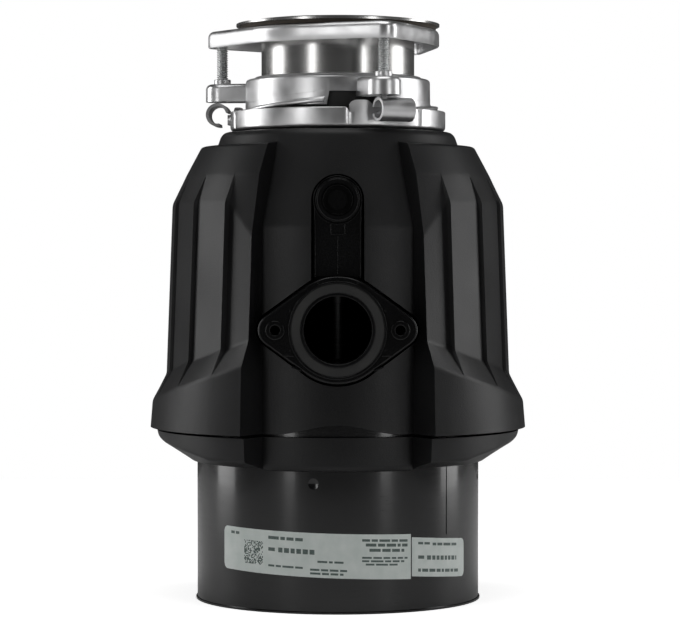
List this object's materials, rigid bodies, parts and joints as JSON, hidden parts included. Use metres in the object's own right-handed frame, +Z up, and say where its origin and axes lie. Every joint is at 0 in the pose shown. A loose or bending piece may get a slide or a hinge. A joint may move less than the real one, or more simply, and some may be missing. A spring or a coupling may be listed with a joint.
{
  "type": "kitchen garbage disposal",
  "caption": "Under-sink food waste disposal with a sink flange mount, a locking ring, a grinding chamber and a motor in a round can, in black trim shells.",
  "frame": {"origin": "centre of the base, on the axis of the wrench access hole, at the plane the can stands on", "axes": "+Z up along the motor axis to the sink flange, -Y towards the discharge outlet, +X to the right seen from the outlet"},
  "size_m": [0.211, 0.1846, 0.3234],
  "materials": {
    "stainless": "brushed",
    "zinc": "bright zinc plate",
    "black_shell": "fine texture",
    "container_black": "satin",
    "can_paint": "gloss",
    "rubber_black": "matt",
    "label_paper": "satin",
    "copper": "enamelled",
    "lamination": "rolled",
    "cast_alu": "cast",
    "bronze": "sintered",
    "steel": "turned",
    "liner_paper": "matt",
    "red_plastic": "gloss",
    "green_steel": "painted",
    "phenolic": "moulded",
    "foam": "felt",
    "fibre": "pressed"
  },
  "bodies": {
    "housing": {"base_cover": "can_paint", "base_screws": "steel", "container_bolts": "steel", "container_gasket": "rubber_black", "cushion_mount": "rubber_black", "drain_chamber": "container_black", "grinding_container": "container_black", "ground_screw": "green_steel", "inlet_plug": "container_black", "lower_bearing": "bronze", "lower_end_frame": "cast_alu", "lower_shell": "black_shell", "main_label": "label_paper", "motor_can": "can_paint", "outlet_seal": "rubber_black", "overload_protector": "phenolic", "shaft_seal": "rubber_black", "shredder_ring": "stainless", "side_label": "label_paper", "slot_liners": "liner_paper", "sound_insulation": "foam", "splash_baffle": "rubber_black", "start_switch": "phenolic", "stator_core": "lamination", "stator_windings": "copper", "terminal_cover": "can_paint", "terminal_cover_screw": "steel", "through_bolt_nuts": "steel", "through_bolts": "steel", "upper_bearing": "bronze", "upper_shell": "black_shell"},
    "rotor": {"rotor_shaft": "steel", "rotor_core": "lamination", "slinger": "phenolic", "turntable": "stainless", "turntable_nut": "steel", "turntable_washer": "steel", "impeller_rivets": "stainless", "thrust_washers": "steel"},
    "impeller_right_body": {"impeller_right": "stainless"},
    "impeller_left_body": {"impeller_left": "stainless"},
    "locking_ring": {"lower_mounting_ring": "zinc"},
    "sink_mount": {"sink_flange": "stainless", "sink_gasket": "fibre", "backup_flange": "zinc", "mounting_ring": "zinc", "snap_ring": "steel"},
    "screw_front": {"mounting_screw_front": "zinc"},
    "screw_right": {"mounting_screw_right": "zinc"},
    "screw_left": {"mounting_screw_left": "zinc"},
    "reset": {"reset_button": "red_plastic"}
  },
  "joints": [
    {"name": "rotor_spin", "type": "hinge", "parent": "housing", "child": "rotor", "pos_m": [0, 0, 0.1], "axis": [0, 0, 1], "continuous": true},
    {"name": "impeller_right_swivel", "type": "hinge", "parent": "rotor", "child": "impeller_right_body", "pos_m": [0.04075, 0, 0.181], "axis": [0, 0, 1], "continuous": true},
    {"name": "impeller_left_swivel", "type": "hinge", "parent": "rotor", "child": "impeller_left_body", "pos_m": [-0.04075, 0, 0.181], "axis": [0, 0, 1], "continuous": true},
    {"name": "locking_ring_turn", "type": "hinge", "parent": "housing", "child": "locking_ring", "pos_m": [0, 0, 0.265], "axis": [0, 0, 1], "range_deg": [0, 45]},
    {"name": "sink_mount_draw", "type": "slide", "parent": "housing", "child": "sink_mount", "axis": [0, 0, -1], "range_m": [0, 0.0036]},
    {"name": "screw_front_turn", "type": "hinge", "parent": "sink_mount", "child": "screw_front", "pos_m": [0.02472, -0.06119, 0.29], "axis": [0, 0, 1], "continuous": true},
    {"name": "screw_right_turn", "type": "hinge", "parent": "sink_mount", "child": "screw_right", "pos_m": [0.04063, 0.05201, 0.29], "axis": [0, 0, 1], "continuous": true},
    {"name": "screw_left_turn", "type": "hinge", "parent": "sink_mount", "child": "screw_left", "pos_m": [-0.06536, 0.00919, 0.29], "axis": [0, 0, 1], "continuous": true},
    {"name": "reset_press", "type": "slide", "parent": "housing", "child": "reset", "axis": [0, 0, 1], "range_m": [0, 0.002], "stiffness_N_per_m": 1500}
  ],
  "couplings": [
    {"joint": "sink_mount_draw", "follows": "locking_ring_turn", "m_per_rad": 0.0045}
  ]
}
